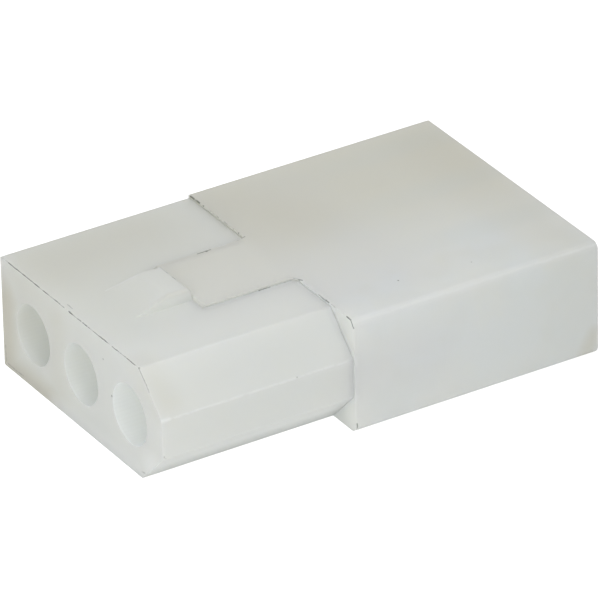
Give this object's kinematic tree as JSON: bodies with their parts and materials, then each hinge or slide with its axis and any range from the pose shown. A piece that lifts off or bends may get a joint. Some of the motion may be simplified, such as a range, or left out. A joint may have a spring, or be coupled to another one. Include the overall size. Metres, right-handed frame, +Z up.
{
  "type": "connector plug and receptacle pair",
  "caption": "Mated in-line power connector for crimped wires: natural nylon plug with a latch tongue, pushed home on a polarised receptacle with round wire entries.",
  "frame": {"origin": "middle of the underside on which the mated pair lies", "axes": "+X runs along the connector from the receptacle's wire entries to the plug's, +Y points out of the flat side, +Z points up through the latch tongue"},
  "size_m": [0.0342, 0.0212, 0.0092],
  "materials": {
    "nylon_receptacle": "milky translucent natural nylon, satin",
    "nylon_plug": "milky translucent natural nylon, satin",
    "contact_brass": "rolled brass strip, lightly dulled"
  },
  "bodies": {
    "root": {"receptacle_housing": "nylon_receptacle", "plug_housing": "nylon_plug", "socket_contact_1": "contact_brass", "socket_contact_2": "contact_brass", "socket_contact_3": "contact_brass", "pin_contact_1": "contact_brass", "pin_contact_2": "contact_brass", "pin_contact_3": "contact_brass"}
  },
  "joints": []
}
